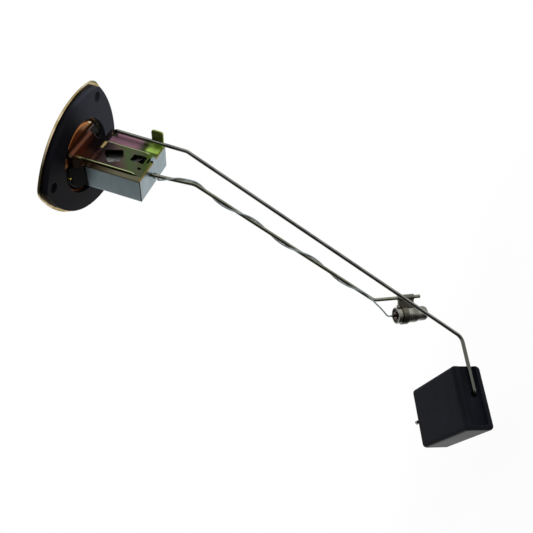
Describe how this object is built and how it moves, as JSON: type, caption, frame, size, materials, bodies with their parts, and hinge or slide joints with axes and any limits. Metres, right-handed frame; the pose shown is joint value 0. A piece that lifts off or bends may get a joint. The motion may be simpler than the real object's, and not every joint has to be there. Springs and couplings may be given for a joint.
{
  "type": "fuel level sender",
  "caption": "Fuel level sender: three-screw flange, plated sheet bracket with resistor housing, wire arm with block float, and a rod with a low-fuel sensor.",
  "frame": {"origin": "centre of the 70 mm bolt circle, on the gasket face that seals against the tank", "axes": "+Z points out of the tank along the screws, all the parts in the tank lie at -Z; +Y points from the bracket's cover to the back of the resistor housing, along the pivot"},
  "size_m": [0.0965, 0.1513, 0.2914],
  "materials": {
    "zinc_yellow": "yellow zinc plate, iridescent",
    "zinc_silver": "bright zinc plate",
    "gasket_rubber": "matte black fuel-proof rubber",
    "card_board": "brown laminate",
    "rivet_brass": "plain brass",
    "winding_wire": "fine resistance wire",
    "bush_plastic": "natural acetal",
    "arm_steel": "bright drawn wire",
    "rod_steel": "thin yellow zinc on wire",
    "float_foam": "closed-cell moulded foam, black",
    "hub_plastic": "moulded nylon, black",
    "leaf_bronze": "phosphor bronze leaf",
    "contact_silver": "silver button",
    "spring_steel": "dark spring steel",
    "lead_sleeve": "grey-blue sleeve",
    "can_plate": "dull tinned can",
    "cap_plastic": "dark moulded disc",
    "block_plastic": "moulded black nylon",
    "insulator_plastic": "moulded black nylon, satin"
  },
  "bodies": {
    "sender": {"flange_plate": "zinc_yellow", "flange_gasket": "gasket_rubber", "support_bracket": "zinc_yellow", "resistor_housing": "zinc_silver", "resistor_card": "card_board", "card_rivets": "zinc_yellow", "resistance_winding": "winding_wire", "pivot_bush_upper": "bush_plastic", "pivot_bush_lower": "bush_plastic", "sensor_rod": "rod_steel", "rod_ferrule": "zinc_silver", "sensor_lead": "lead_sleeve", "sensor_clip": "zinc_silver", "sensor_can": "can_plate", "sensor_end_cap": "cap_plastic", "sensor_terminal": "rivet_brass", "lead_grommet": "hub_plastic", "signal_lead": "lead_sleeve", "terminal_block": "block_plastic", "signal_terminal": "rivet_brass", "warning_terminal": "rivet_brass", "ground_terminal": "rivet_brass", "inner_insulator": "insulator_plastic"},
    "arm": {"float_arm": "arm_steel", "float": "float_foam", "wiper_hub": "hub_plastic", "wiper_blade": "leaf_bronze", "wiper_contact": "contact_silver", "retaining_ring": "spring_steel"}
  },
  "joints": [
    {"name": "arm_swing", "type": "hinge", "parent": "sender", "child": "arm", "pos_m": [0.0144, 0, -0.0125], "axis": [0, 1, 0], "range_deg": [0, 70]}
  ]
}
